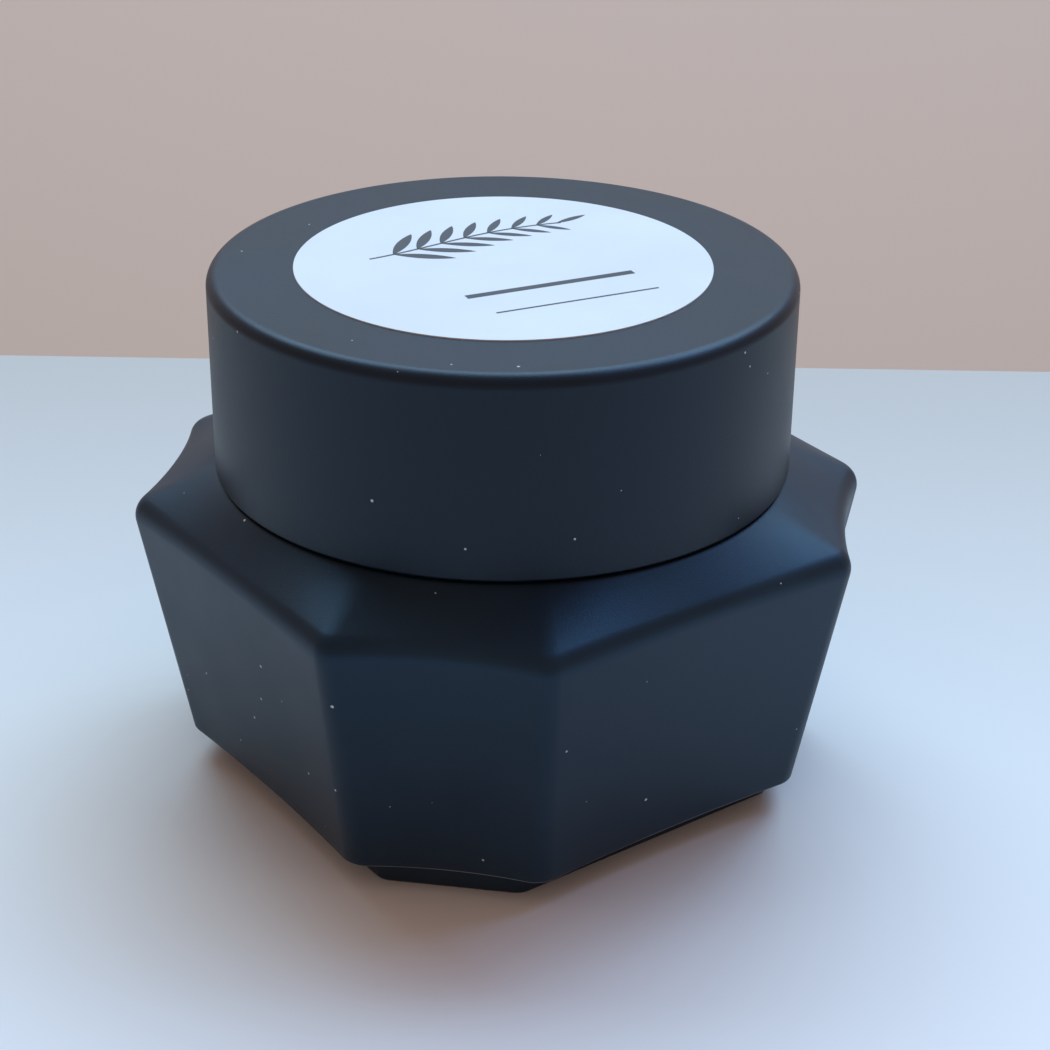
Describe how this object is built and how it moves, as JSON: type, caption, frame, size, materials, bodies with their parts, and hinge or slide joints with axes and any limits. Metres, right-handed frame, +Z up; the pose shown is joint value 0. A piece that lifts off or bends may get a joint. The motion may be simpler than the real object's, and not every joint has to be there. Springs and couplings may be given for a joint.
{
  "type": "cosmetic cream jar",
  "caption": "Octagonal double-wall cosmetic cream jar with bowed facets, a round screw lid, an inner cup and a sealing disc.",
  "frame": {"origin": "centre of the flat face the foot rests on", "axes": "+Z up along the jar's axis; the narrow facets of the octagon face +X, +Y, -X and -Y"},
  "size_m": [0.062, 0.062, 0.0464],
  "materials": {
    "soft_touch_shell": "soft-touch matte black over moulded plastic",
    "soft_touch_lid": "soft-touch matte black over moulded plastic",
    "black_base": "moulded black, satin",
    "white_polypropylene": "moulded white, semi-gloss",
    "black_inner_cap": "moulded black, semi-gloss",
    "foam_liner": "white foamed polyethylene, matte",
    "coated_label": "white gloss-coated sticker",
    "natural_polypropylene": "natural, slightly milky"
  },
  "bodies": {
    "jar": {"outer_jar": "soft_touch_shell", "base_plate": "black_base", "inner_cup": "white_polypropylene"},
    "liner": {"lid_liner": "foam_liner"},
    "lid": {"lid_shell": "soft_touch_lid", "lid_inner_cap": "black_inner_cap", "lid_label": "coated_label"},
    "seal": {"sealing_disc": "natural_polypropylene"}
  },
  "joints": [
    {"name": "lid_rise", "type": "slide", "parent": "jar", "child": "liner", "axis": [0, 0, 1], "range_m": [0, 0.0147]},
    {"name": "lid_turn", "type": "hinge", "parent": "liner", "child": "lid", "pos_m": [0, 0, 0.03], "axis": [0, 0, 1], "range_deg": [0, 1260]},
    {"name": "disc_lift", "type": "slide", "parent": "jar", "child": "seal", "axis": [0, 0, 1], "range_m": [0, 0.0063]}
  ],
  "couplings": [
    {"joint": "lid_rise", "follows": "lid_turn", "m_per_rad": 0.00066845},
    {"joint": "disc_lift", "follows": "lid_turn", "m_per_rad": 0.00028648}
  ]
}
